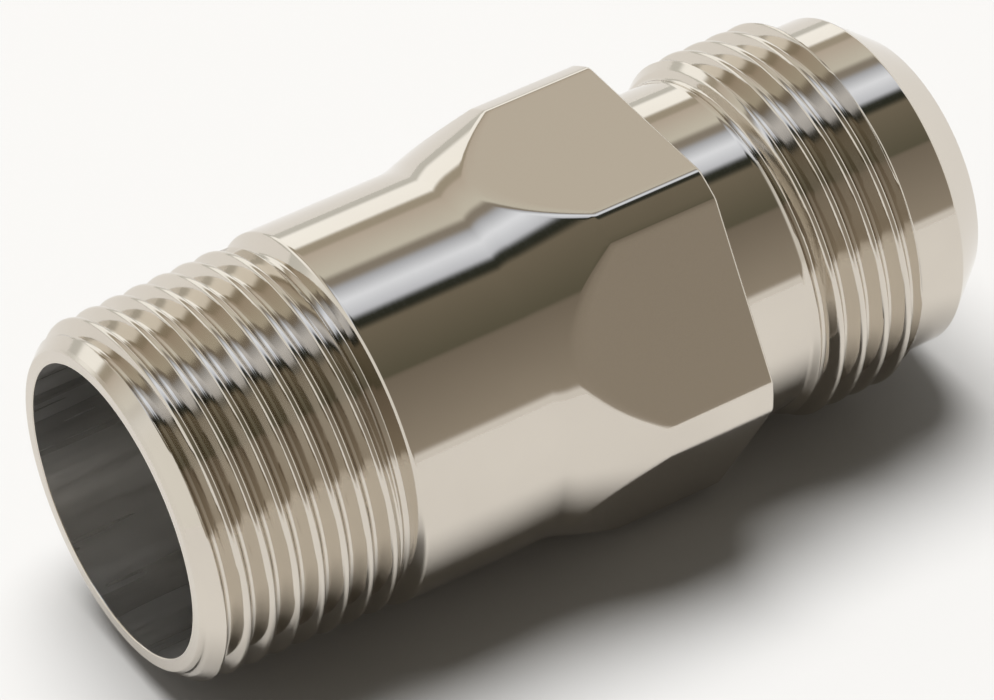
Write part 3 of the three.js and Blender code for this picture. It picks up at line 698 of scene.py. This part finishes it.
# %% [markdown]
# ## The inside of the body
# Seen from the open end the bar is bored to a wall of a millimetre and a half, down to a shoulder that
# carries the porous cup, with a groove for the circlip. Behind the shoulder are the valve chamber, the
# gas inlet and the seat of the strainer. The inside is one profile, so it closes the outside into one
# solid.

# %% Profile of the inside
GROOVE_DEPTH, GROOVE_SIDE = 0.75, 0.15
STRAINER_BORE, MOUTH_CHAMFER = 8.5, 0.9
OPEN_FACE_DEPTH, NOSE_FACE_DEPTH = 0.15, 0.95    # how far in from each end the metal is faced


def ring_groove(x0, x1, bore):
    return [(x0, bore), (x0, bore + GROOVE_DEPTH), (x1, bore + GROOVE_DEPTH), (x1, bore)]


def centred_groove(node_name, bore):
    """A groove a little wider than the split ring that springs into it."""
    low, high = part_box(node_name)
    return ring_groove(low.x / MM - OPEN_X - GROOVE_SIDE, high.x / MM - OPEN_X + GROOVE_SIDE, bore)


nose_start = (second[-1], float(outline_radius(np.array(second[-1]), NOSE_OUTLINE)))
open_end = (FIRST_ROW, float(outline_radius(np.array(FIRST_ROW), OUTLINE)))
inside = [
    nose_start, (LENGTH, NOSE_FACE), (LENGTH, STRAINER_BORE + MOUTH_CHAMFER),
    (LENGTH - MOUTH_CHAMFER, STRAINER_BORE), *centred_groove("strainer_snap_ring", STRAINER_BORE)[::-1],
    (INLET_END, STRAINER_BORE), (INLET_END, INLET),
    (CHAMBER_END, INLET), (CHAMBER_END, CHAMBER), *centred_groove("guide_snap_ring", CHAMBER)[::-1],
    (CHAMBER_START, CHAMBER), (CHAMBER_START, BORE), *centred_groove("circlip", BORE)[::-1],
    (0.0, BORE), (0.0, BORE + FACE_WIDTH), open_end,
]
roundings = [0.06] * len(inside)
roundings[1], roundings[-2], roundings[-3] = 0.22, 0.12, 0.14
profile = rounded(inside, roundings, closed=False)[1:-1]
rows_x, rows_r, rows_along, rows_out = (profile[:, k:k + 1] for k in range(4))
points = np.concatenate([points, place(rows_x, rows_r, ANGLES)])
normals = np.concatenate([normals, facing(rows_along, rows_out, 0, ANGLES)])
kinds += [FACED_KIND if v < OPEN_FACE_DEPTH or v > LENGTH - NOSE_FACE_DEPTH else BORED_KIND
          for v in rows_x[:, 0]]
print("inside rows", len(profile))

# %% [markdown]
# ## One skin for the body
# The outside rows and the inside rows are joined into one closed skin. Each row takes one of five
# finishes, and the part of a row that lies on a flat takes the buffed one.

# %% Body
body = skin("turned_body", points, normals)
settle(body, "body", "fitting", "polished_steel", polished, threaded, buffed, faced, bored)
face_kinds = np.repeat(np.array(kinds), COLUMNS)
hex_rows = [i for i, row in enumerate(xs) if row.min() > cone_from]
on_flat = sector < math.radians(FLAT_EDGE)
for i in hex_rows:
    past_edge = xs[i] >= flat_start - 1e-6
    face_kinds[i * COLUMNS:(i + 1) * COLUMNS][past_edge & on_flat] = FLAT_KIND
body.data.polygons.foreach_set("material_index", face_kinds)
body.data.update()
print("body faces", len(body.data.polygons))

# %% [markdown]
# ## The stack in the open bore
# The porous cup is pressed from steel powder and sintered, so it is dull and grainy, and gas leaves
# through its wall as fine bubbles. A rubber gasket lies on each side of its flange. A thick washer and a
# wave washer press the stack on the shoulder, and a circlip with two drilled lugs keeps them all in.

# %% Rings of the stack
def span(node_name):
    """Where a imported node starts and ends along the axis, and its outer radius."""
    low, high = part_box(node_name)
    return low.x / MM - OPEN_X, high.x / MM - OPEN_X, (high.z - low.z) / 2 / MM


def ring(name, node_name, inner, edge, slot, made, columns=128, wave=None):
    x0, x1, outer = span(node_name)
    if wave:
        x0, x1 = (x0 + x1) / 2 - wave[2] / 2, (x0 + x1) / 2 + wave[2] / 2
    piece = turned(name, [(x0, inner), (x1, inner), (x1, outer), (x0, outer)], edge, columns, wave=wave)
    return settle(piece, node_name, "fitting", slot, made)


STACK_INNER = 9.85
ring("gasket_behind_cup", "rear_gasket", STACK_INNER, 0.18, "black_rubber", rubber)
ring("gasket_before_cup", "front_gasket", STACK_INNER, 0.18, "black_rubber", rubber)
ring("thick_washer", "thrust_washer", STACK_INNER, 0.2, "plain_steel", plain_metal)
ring("washer_with_waves", "wave_washer", STACK_INNER, 0.12, "spring_steel", spring_metal, 160,
     wave=(0.75, 3, 0.6))
print("bore of the rings", 2 * STACK_INNER, "mm")

# %% [markdown]
# ## The porous cup
# The cup is a thin wall with a rounded end, and a flange at its open end that the gaskets grip. It is
# turned as one closed profile, with a large rounding at the tip.

# %% Porous cup
CUP, CUP_WALL, CUP_FLANGE = 9.0, 2.2, 3.0
cup_tip, cup_open, cup_flange_radius = span("porous_cup")
cup = turned("sintered_cup", [
    (cup_tip, 0.0), (cup_tip, CUP), (cup_open - CUP_FLANGE, CUP),
    (cup_open - CUP_FLANGE, cup_flange_radius), (cup_open, cup_flange_radius), (cup_open, CUP - CUP_WALL),
    (cup_tip + CUP_WALL, CUP - CUP_WALL),
    (cup_tip + CUP_WALL, 0.0),
], [0, 2.2, 0.5, 0.25, 0.25, 0.3, 0.8, 0], 128, poles=True, steps=7)
settle(cup, "porous_cup", "fitting", "sintered_steel", sintered)
print("cup is %.1f mm long" % (cup_open - cup_tip))

# %% [markdown]
# ## The circlip
# A circlip is stamped from spring steel. It is open on one side, with a drilled lug on each end for the
# pliers that squeeze it into its groove.

# %% Circlip
IN_GROOVE = 0.6                            # how far a split ring reaches into its groove
CLIP_WIDTH, CLIP_GAP, LUG_ANGLE, LUG_REACH, LUG_HOLE = 2.2, 0.25, 0.3, 9.6, 0.8
clip_start, clip_end, _ = span("circlip")
clip_outer = BORE + IN_GROOVE
LUG_SLOPE = 0.06                           # extra angle at the foot of each lug
far_gap, lug_foot = 2 * math.pi - CLIP_GAP, CLIP_GAP + LUG_ANGLE + LUG_SLOPE
clip = arc(clip_outer, CLIP_GAP, far_gap, 120)
clip += arc(LUG_REACH, far_gap, far_gap - LUG_ANGLE, 8)
clip += arc(clip_outer - CLIP_WIDTH, far_gap - LUG_ANGLE - LUG_SLOPE, lug_foot, 120)
clip += arc(LUG_REACH, CLIP_GAP + LUG_ANGLE, CLIP_GAP, 8)
hole_reach = (LUG_REACH + clip_outer) / 2
holes = [circle(hole_reach * math.cos(s * (CLIP_GAP + LUG_ANGLE / 2)),
                hole_reach * math.sin(s * (CLIP_GAP + LUG_ANGLE / 2)), LUG_HOLE, 24) for s in (-1, 1)]
clip_piece = plate("clip_with_lugs", [clip, *holes], clip_start, clip_end - clip_start, 0.1)
settle(clip_piece, "circlip", "fitting", "spring_steel", spring_metal)

# %% [markdown]
# ## The valve
# The valve stands in its own chamber behind the cup. A brass guide with four arms holds the stem, a
# sleeve keeps the guide off the seat, and the seat has a raised lip that bites into the rubber face of
# the poppet. The gas pushes the poppet back against its spring by a little over two millimetres.

# %% Split rings
RING_WIDTH, RING_OPENING = 2.1, 0.5


def split_ring(name, node_name, bore):
    x0, x1, _ = span(node_name)
    outer = bore + IN_GROOVE
    outline = arc(outer, RING_OPENING, 2 * math.pi - RING_OPENING, 96)
    outline += arc(outer - RING_WIDTH, 2 * math.pi - RING_OPENING, RING_OPENING, 96)
    piece = plate(name, [outline], x0, x1 - x0, 0.1)
    return settle(piece, node_name, "fitting", "spring_steel", spring_metal)


split_ring("ring_behind_guide", "guide_snap_ring", CHAMBER)
split_ring("ring_before_strainer", "strainer_snap_ring", STRAINER_BORE)
print("split rings open by %.0f degrees" % math.degrees(2 * RING_OPENING))

# %% [markdown]
# ## The stem guide and the sleeve
# The guide is a brass disc with four windows, which leave a rim, a hub and four arms. The sleeve behind
# it is a plain tube.

# %% Stem guide and sleeve
guide_start, guide_end, _ = span("stem_guide")
SLIDE_GAP = 0.3
guide_radius = CHAMBER - SLIDE_GAP
RIM, HUB, STEM_HOLE, ARMS, ARM_WIDTH = guide_radius - 1.5, 3.3, 1.8, 4, 1.8
outlines = [circle(0, 0, guide_radius, 120), circle(0, 0, STEM_HOLE, 48)]
for i in range(ARMS):
    middle = 2 * math.pi * i / ARMS
    at_rim = math.pi / ARMS - math.asin(ARM_WIDTH / 2 / RIM)
    at_hub = math.pi / ARMS - math.asin(ARM_WIDTH / 2 / HUB)
    window = arc(RIM, middle + at_rim, middle - at_rim, 24)
    outlines.append(window + arc(HUB, middle - at_hub, middle + at_hub, 12))
guide = plate("guide_with_arms", outlines, guide_start, guide_end - guide_start, 0.12)
settle(guide, "stem_guide", "fitting", "turned_brass", brass)

SLEEVE_WALL = 1.0
ring("sleeve", "spacer_sleeve", guide_radius - SLEEVE_WALL, 0.1, "turned_brass", brass)
print("guide is %.1f mm across" % (2 * guide_radius))

# %% [markdown]
# ## The valve seat and its O-ring
# The seat is a brass ring with a groove round it for an O-ring and a narrow raised lip on the face that
# the rubber disc meets. The O-ring is a round section carried round the axis.

# %% Valve seat and O-ring
seat_start, seat_end, _ = span("valve_seat")
seat_radius, SEAT_BORE, LIP, LIP_HEIGHT = guide_radius, 4.0, 0.9, 0.6
ring_low, ring_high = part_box("seat_o_ring")
ring_middle = (ring_low.x + ring_high.x) / 2 / MM - OPEN_X
groove_half, groove_floor = 0.9, guide_radius - 1.65
seat = turned("seat_with_lip", [
    (seat_start, SEAT_BORE), (seat_end, SEAT_BORE), (seat_end, seat_radius),
    (ring_middle + groove_half, seat_radius), (ring_middle + groove_half, groove_floor),
    (ring_middle - groove_half, groove_floor), (ring_middle - groove_half, seat_radius),
    (seat_start + LIP_HEIGHT, seat_radius), (seat_start + LIP_HEIGHT, SEAT_BORE + 2 * LIP),
    (seat_start, SEAT_BORE + LIP),
], [0.25, 0.3, 0.1, 0.08, 0.15, 0.15, 0.08, 0.1, 0.2, 0.25])
settle(seat, "valve_seat", "fitting", "turned_brass", brass)

O_RING = 0.75
section = np.linspace(0, 2 * math.pi, 24, endpoint=False)[:, None]
round_way = np.linspace(0, 2 * math.pi, 128, endpoint=False)
ring_x = ring_middle + O_RING * np.cos(section)
ring_radius = guide_radius - O_RING + O_RING * np.sin(section)
o_ring = skin("o_ring", place(ring_x, ring_radius, round_way),
              facing(np.cos(section), np.sin(section), 0, round_way))
settle(o_ring, "seat_o_ring", "fitting", "black_rubber", rubber)

# %% [markdown]
# ## The poppet and its spring
# The poppet is turned brass with a rubber disc held to its face by a slotted screw, so the disc can be
# changed when it wears. These three move together. The spring is wound with its end coils close, and it
# shortens towards the guide as the poppet comes back.

# %% Poppet and its disc
tip, face, _ = span("poppet")
STEM, BOSS, BOSS_LENGTH, HEAD, HEAD_THICKNESS = 1.5, 2.4, 1.8, 6.2, 1.2
SCREW_HOLE, SCREW_HOLE_DEPTH, DISC = 1.2, 2.3, 5.9
head_back = face - HEAD_THICKNESS
poppet = turned("brass_poppet", [
    (tip, 0.0), (tip, STEM), (head_back - BOSS_LENGTH, STEM), (head_back - BOSS_LENGTH, BOSS),
    (head_back, BOSS), (head_back, HEAD), (face, HEAD), (face, SCREW_HOLE),
    (face - SCREW_HOLE_DEPTH, SCREW_HOLE), (face - SCREW_HOLE_DEPTH, 0.0),
], [0, 0.5, 0.1, 0.2, 0.1, 0.25, 0.2, 0.08, 0.05, 0], 96, poles=True)
settle(poppet, "poppet", "poppet", "turned_brass", brass)

seal_start, seal_end, _ = span("poppet_seal")
seal = turned("rubber_disc", [(seal_start, SCREW_HOLE), (seal_end, SCREW_HOLE), (seal_end, DISC),
                              (seal_start, DISC)], 0.15)
settle(seal, "poppet_seal", "poppet", "black_rubber", rubber)
print("poppet is %.1f mm long" % (face - tip))

# %% [markdown]
# ## The slotted screw
# The screw is turned first and its slot is cut after, as a slotting saw does it. The cut is applied to
# the mesh and the cutter is thrown away.

# %% Slotted screw
shank_start, top, _ = span("seal_screw")
SHANK, SCREW_HEAD, HEAD_HEIGHT, SLOT_WIDTH, SLOT_DEPTH = 0.9, 2.8, 1.4, 0.7, 0.7
screw = turned("slotted_screw", [
    (shank_start, 0.0), (shank_start, SHANK), (top - HEAD_HEIGHT, SHANK), (top - HEAD_HEIGHT, SCREW_HEAD),
    (top, SCREW_HEAD), (top, 0.0),
], [0, 0.15, 0.08, 0.12, 0.5, 0], 64, poles=True)
cutter = make_mesh("slot_cutter", [], [])
work = bmesh.new()
at_top = Matrix.Translation(((OPEN_X + top) * MM, 0, AXIS_Z * MM))
slot_size = Matrix.Diagonal((2 * SLOT_DEPTH * MM, 8 * MM, SLOT_WIDTH * MM, 1))
bmesh.ops.create_cube(work, size=1.0, matrix=at_top @ slot_size)
work.to_mesh(cutter.data)
work.free()
cut = screw.modifiers.new("slot", "BOOLEAN")
cut.object, cut.operation, cut.solver = cutter, "DIFFERENCE", "EXACT"
bpy.context.view_layer.update()
slotted = final_mesh(screw)
screw.modifiers.clear()
screw.data = slotted
bpy.data.objects.remove(cutter)
slotted.polygons.foreach_set("use_smooth", [True] * len(slotted.polygons))
slotted.set_sharp_from_angle(angle=math.radians(35))
settle(screw, "seal_screw", "poppet", "plain_steel", plain_metal)
print("screw head is %.1f mm across" % (2 * SCREW_HEAD))

# %% [markdown]
# ## The spring
# The wire is carried along a helix. Its pitch is close at both ends and open between, and it eases from
# one to the other.

# %% Spring
WIRE, COIL, TURNS, CLOSE_TURNS = 0.3, 3.9, 4.0, 0.8
spring_start, spring_end, _ = span("valve_spring")
SPRING_STEPS, CLOSE_STEP, BLEND = 320, 0.62, 25    # BLEND is the number of steps that even out the pitch
turns = np.linspace(0, TURNS, SPRING_STEPS + 1)
reach = spring_end - spring_start - 2 * WIRE
open_step = (reach - 2 * CLOSE_TURNS * CLOSE_STEP) / (TURNS - 2 * CLOSE_TURNS)
pace = np.where((turns < CLOSE_TURNS) | (turns > TURNS - CLOSE_TURNS), CLOSE_STEP, open_step)
pace = np.convolve(np.pad(pace, BLEND // 2, mode="edge"), np.ones(BLEND) / BLEND, mode="valid")
way = np.concatenate([[0], np.cumsum((pace[1:] + pace[:-1]) / 2)])
wire_x = spring_start + WIRE + way / way[-1] * reach
wire_angle = -2 * math.pi * turns
centres = place(wire_x, COIL, wire_angle)
tangents = np.gradient(centres, axis=0)
tangents /= np.linalg.norm(tangents, axis=1, keepdims=True)
out = facing(0, 1, 0, wire_angle)
beside = np.cross(tangents, out)
beside /= np.linalg.norm(beside, axis=1, keepdims=True)
out = np.cross(beside, tangents)
round_wire = np.linspace(0, 2 * math.pi, 14, endpoint=False)
outward_share, side_share = np.cos(round_wire)[None, :, None], np.sin(round_wire)[None, :, None]
spokes = outward_share * out[:, None, :] + side_share * beside[:, None, :]
spring = skin("coil_spring", centres[:, None, :] + WIRE * MM * spokes, spokes, loop=False, poles=True)
settle(spring, "valve_spring", "fitting", "spring_steel", spring_metal)
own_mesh(spring)

# %% [markdown]
# ## The inlet strainer
# A drilled disc in the nose keeps grit from the gas bottle off the valve. Its holes are on a triangular
# grid, which fits the most holes into a round disc with the same metal left between them.

# %% Strainer
strainer_start, strainer_end, _ = span("inlet_strainer")
SPACING, HOLE = 2.6, 0.75
outlines = [circle(0, 0, STRAINER_BORE - SLIDE_GAP, 120)]
for row in range(-3, 4):
    for column in range(-4, 5):
        u, v = SPACING * (column + row / 2), SPACING * row * math.sin(math.pi / 3)
        if math.hypot(u, v) <= INLET - HOLE:
            outlines.append(circle(u, v, HOLE, 32))
strainer = plate("drilled_disc", outlines, strainer_start, strainer_end - strainer_start, 0.08)
settle(strainer, "inlet_strainer", "fitting", "plain_steel", plain_metal)
print("strainer holes", len(outlines) - 1)

# %% [markdown]
# ## The floor and the light
# Polished steel shows what stands round it rather than its own colour. The fitting lies on a pale floor
# under a broad soft light. Above the floor the room is a set of long soft panels parallel to the axis:
# white ones behind the fitting, a dark gap between two of them, and a dull warm one on the side of the
# viewer.

# %% Tones of the room
def linear(value):
    v = value / 255
    return v / 12.92 if v <= 0.04045 else ((v + 0.055) / 1.055) ** 2.4


STEEL_SHINE = [(a + b) / 2 for a, b in zip(*STEEL)]
RANGE = 2.0                                 # the brightest that the room can be


def room_colour(tone):
    """The colour, as a share of RANGE, that makes polished steel show a tone."""
    return (*[linear(t) / s / RANGE for t, s in zip(tone, STEEL_SHINE)], 1.0)


END_TONE = (208, 200, 186)                  # what the room shows straight along the axis
END_FROM, END_TO = 0.62, 0.9                # how nearly along the axis it starts to, and shows only that
# Each panel is degrees from straight up towards the viewer's side, and the tone that it gives to steel.
PANELS = [
    (-180, (200, 192, 178)), (-92, (182, 176, 163)), (-84, (182, 176, 163)), (-81, (236, 229, 216)),
    (-66, (236, 229, 216)), (-63, (150, 138, 118)), (-57, (150, 138, 118)), (-54.5, (174, 160, 142)),
    (-34, (188, 180, 162)), (-30, (128, 118, 104)), (-26, (128, 118, 104)), (-22, (165, 165, 166)),
    (-13, (216, 216, 217)), (-3, (186, 186, 188)), (0.5, (44, 44, 36)), (5, (40, 40, 31)),
    (8.5, (105, 95, 78)), (38, (84, 78, 62)), (40, (109, 98, 83)), (84, (136, 124, 107)),
    (87, (198, 189, 176)), (180, (198, 189, 176)),
]
print("panels", len(PANELS))

# %% [markdown]
# ## The room
# The room is a ramp of tones by angle round the axis, so that every turned surface shows the same bands,
# bent to its own shape. Straight along the axis it fades into one plain tone.

# %% Room
world = bpy.data.worlds.new("studio")
bpy.context.scene.world = world
world.use_nodes = True
tree = world.node_tree
tree.nodes.clear()
direction = node(tree, "ShaderNodeTexCoord")
parts = node(tree, "ShaderNodeSeparateXYZ")
tree.links.new(direction.outputs["Generated"], parts.inputs[0])
toward_viewer = math_node(tree, "MULTIPLY", parts.outputs[1], -1.0)
around = math_node(tree, "ARCTAN2", toward_viewer, parts.outputs[2])
share = math_node(tree, "MULTIPLY_ADD", around, 1 / (2 * math.pi), 0.5)
ramp = node(tree, "ShaderNodeValToRGB")
elements = ramp.color_ramp.elements
for degrees, _ in PANELS[1:-1]:
    elements.new((degrees + 180) / 360)
for element, (degrees, tone) in zip(elements, PANELS):
    element.position = (degrees + 180) / 360
    element.color = room_colour(tone)
tree.links.new(share, ramp.inputs[0])
pole = node(tree, "ShaderNodeMapRange", {"interpolation_type": "SMOOTHSTEP"}, From_Min=END_FROM,
            From_Max=END_TO)
tree.links.new(math_node(tree, "ABSOLUTE", parts.outputs[0]), pole.inputs["Value"])
pole_mix = node(tree, "ShaderNodeMix", {"data_type": "RGBA"})
tree.links.new(pole.outputs[0], pole_mix.inputs[0])
tree.links.new(ramp.outputs[0], pole_mix.inputs[6])
pole_mix.inputs[7].default_value = room_colour(END_TONE)
background = node(tree, "ShaderNodeBackground", None, Strength=RANGE)
tree.links.new(pole_mix.outputs[2], background.inputs["Color"])
output = node(tree, "ShaderNodeOutputWorld")
tree.links.new(background.outputs[0], output.inputs["Surface"])
print("room ready")

# %% [markdown]
# ## The floor and its light
# One broad even light from above and a little behind keeps the floor the same brightness out to the
# horizon, with a soft shadow under the part. The light is kept out of reflections, because the room
# already has its own bright panels.

# %% Floor and light
FLOOR_HALF, FLOOR_DROP = 3.0, 2e-5
floor_corners = [(u * FLOOR_HALF, v * FLOOR_HALF, -FLOOR_DROP)
                 for u, v in ((-1, -1), (1, -1), (1, 1), (-1, 1))]
floor = make_mesh("floor", floor_corners, [(0, 1, 2, 3)])
floor_finish = bpy.data.materials.new("pale_floor")
floor_finish.use_nodes = True
floor_shader = floor_finish.node_tree.nodes["Principled BSDF"]
floor_shader.inputs["Base Color"].default_value = (0.26, 0.257, 0.252, 1.0)
floor_shader.inputs["Roughness"].default_value = 0.95
floor_shader.inputs["Specular IOR Level"].default_value = 0.1
floor.data.materials.append(floor_finish)
floor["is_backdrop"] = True

LIGHT_STRENGTH = 10.3
LIGHT_SPREAD, LIGHT_TILT = math.radians(40), math.radians(14.3)
light_data = bpy.data.lights.new("soft_light", "SUN")
light_data.energy, light_data.angle = LIGHT_STRENGTH, LIGHT_SPREAD
light = add_object("soft_light", light_data)
light.rotation_euler = (-LIGHT_TILT, 0.0, 0.0)
light.visible_glossy = False
bpy.context.scene.view_settings.view_transform = "Standard"
print("light spread", round(math.degrees(LIGHT_SPREAD)), "degrees")

# %% [markdown]
# ## Sizes before and after
# The box round the finished model is set against the box round the imported part, and the most that it
# grew on any side is printed.

# %% Write the sizes
END_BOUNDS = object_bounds()
growth = [max(START_BOUNDS[0][i] - END_BOUNDS[0][i], END_BOUNDS[1][i] - START_BOUNDS[1][i])
          for i in range(3)]
print("grew by %.3f mm" % (max(growth) / MM))
